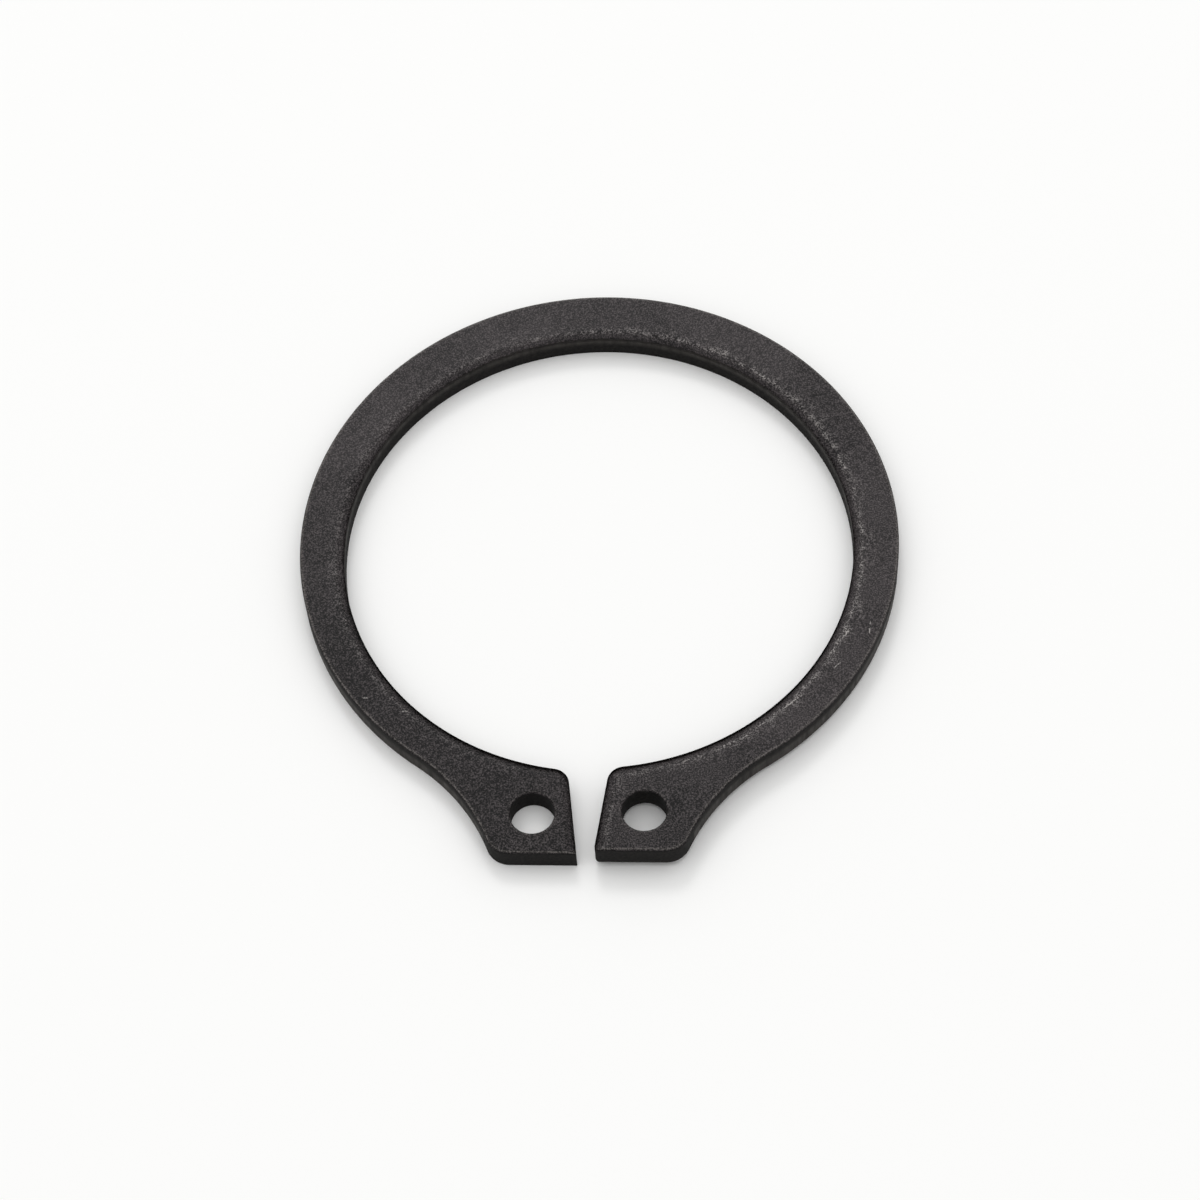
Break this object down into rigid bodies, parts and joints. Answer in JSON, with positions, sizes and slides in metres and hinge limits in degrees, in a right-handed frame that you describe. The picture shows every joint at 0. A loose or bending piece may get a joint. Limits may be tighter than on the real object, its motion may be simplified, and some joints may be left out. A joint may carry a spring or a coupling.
{
  "type": "external retaining ring",
  "caption": "External retaining ring of stamped spring steel that snaps into a groove on a 32 mm shaft and stops a bearing or hub from sliding along it.",
  "frame": {"origin": "on the bore axis, at the underside that the ring lies on", "axes": "+Z along the bore axis away from the surface it lies on, -Y towards the gap between the lugs, +X towards the lug that stands off the surface"},
  "size_m": [0.0348, 0.0379, 0.002],
  "materials": {
    "phosphated_steel": "black phosphated and oiled spring steel, satin"
  },
  "bodies": {
    "root": {"retaining_ring": "phosphated_steel"}
  },
  "joints": []
}
